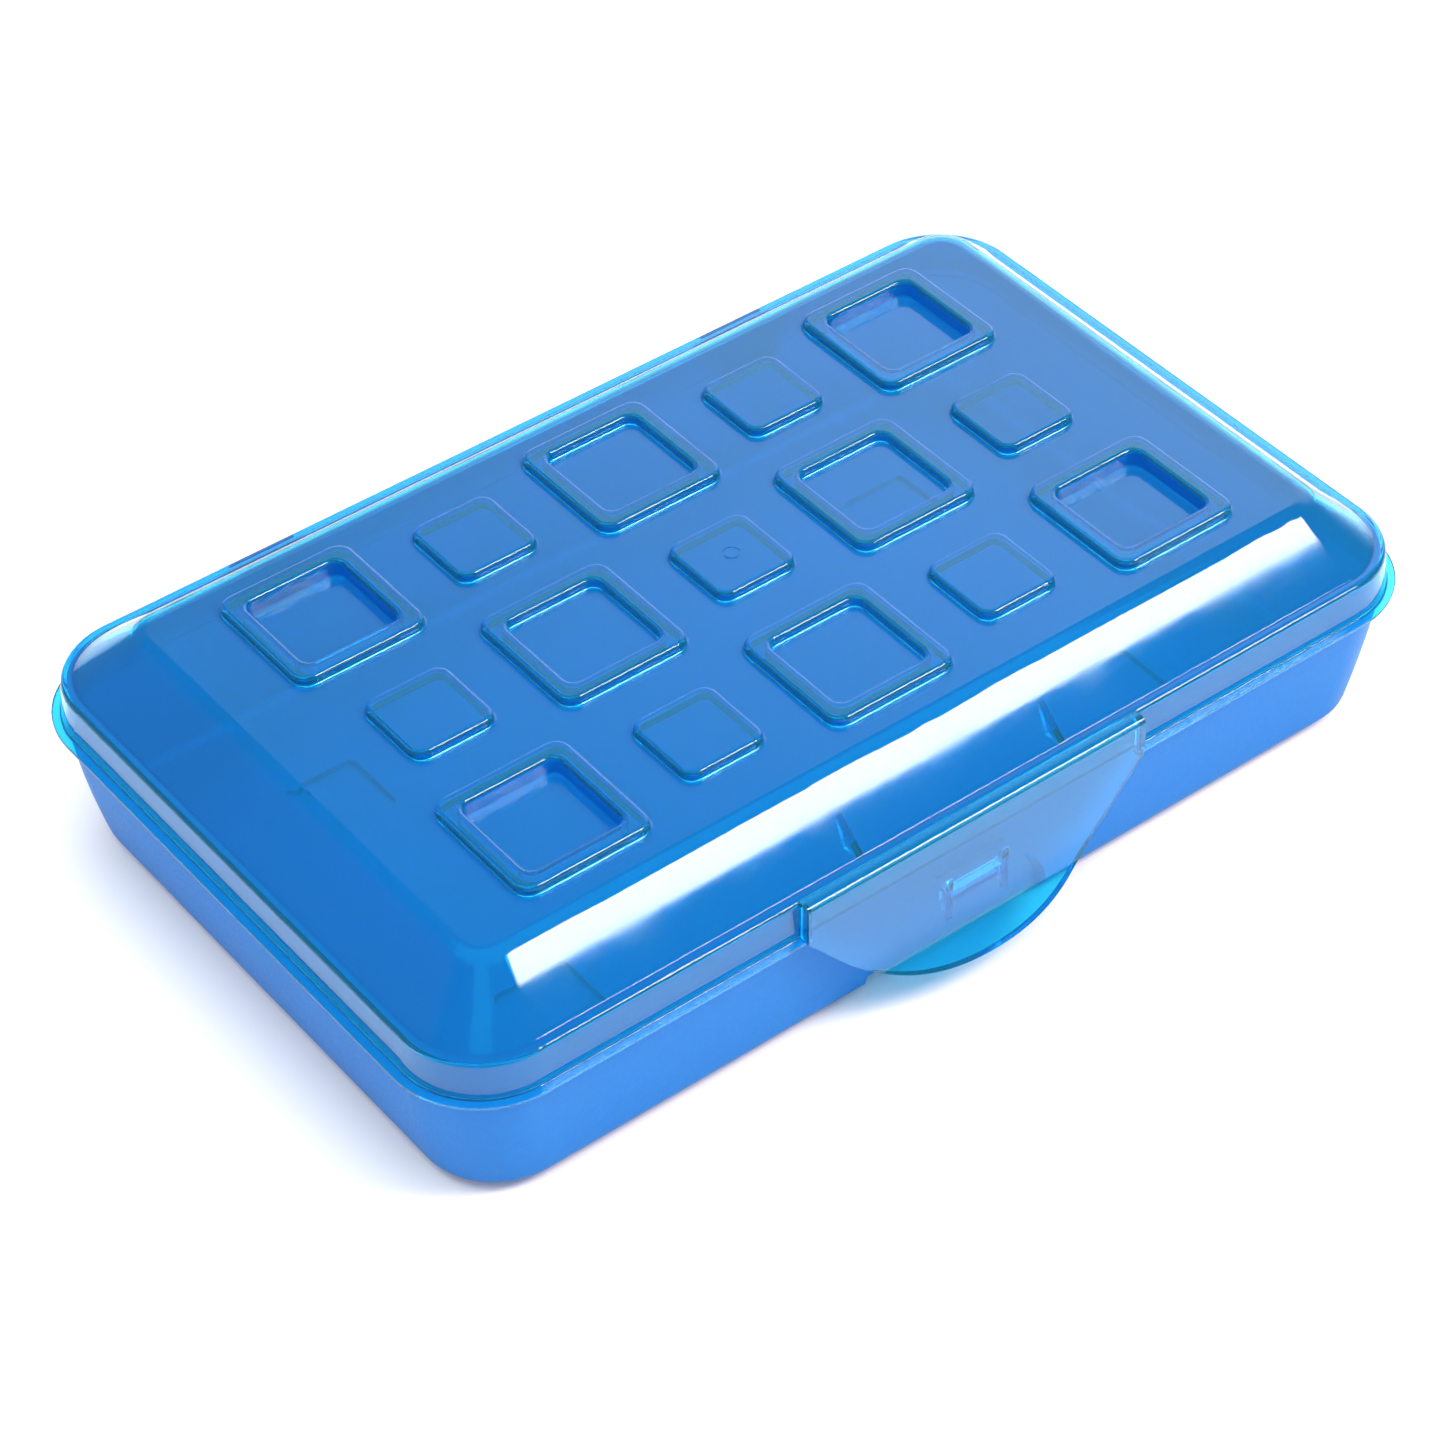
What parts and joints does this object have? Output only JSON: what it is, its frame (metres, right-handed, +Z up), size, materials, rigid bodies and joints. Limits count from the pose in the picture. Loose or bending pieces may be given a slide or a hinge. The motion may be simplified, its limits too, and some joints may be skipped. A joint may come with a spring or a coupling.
{
  "type": "pencil case",
  "caption": "Rectangular snap-lid pencil case: translucent glossy lid with raised square panels, frosted tray, sprung front latch tab and rear snap hinges.",
  "frame": {"origin": "middle of the plane that the four feet rest on", "axes": "+X along the case to the right as seen from the latch side, +Y from the latch to the hinge, +Z up"},
  "size_m": [0.34, 0.2269, 0.075],
  "materials": {
    "tray_plastic": "frosted translucent polypropylene",
    "lid_plastic": "glossy see-through polypropylene"
  },
  "bodies": {
    "tray": {"base_tray": "tray_plastic", "front_catch": "tray_plastic", "hinge_clips": "tray_plastic"},
    "lid": {"lid_shell": "lid_plastic", "hinge_arms": "lid_plastic", "hinge_pins": "lid_plastic"},
    "latch": {"latch_tab": "lid_plastic"}
  },
  "joints": [
    {"name": "lid_hinge", "type": "hinge", "parent": "tray", "child": "lid", "pos_m": [0, 0.1096, 0.042], "axis": [-1, 0, 0], "range_deg": [0, 110]},
    {"name": "latch_flex", "type": "hinge", "parent": "lid", "child": "latch", "pos_m": [0, -0.103, 0.0553], "axis": [-1, 0, 0], "range_deg": [0, 18], "stiffness_Nm_per_rad": 1.5}
  ]
}
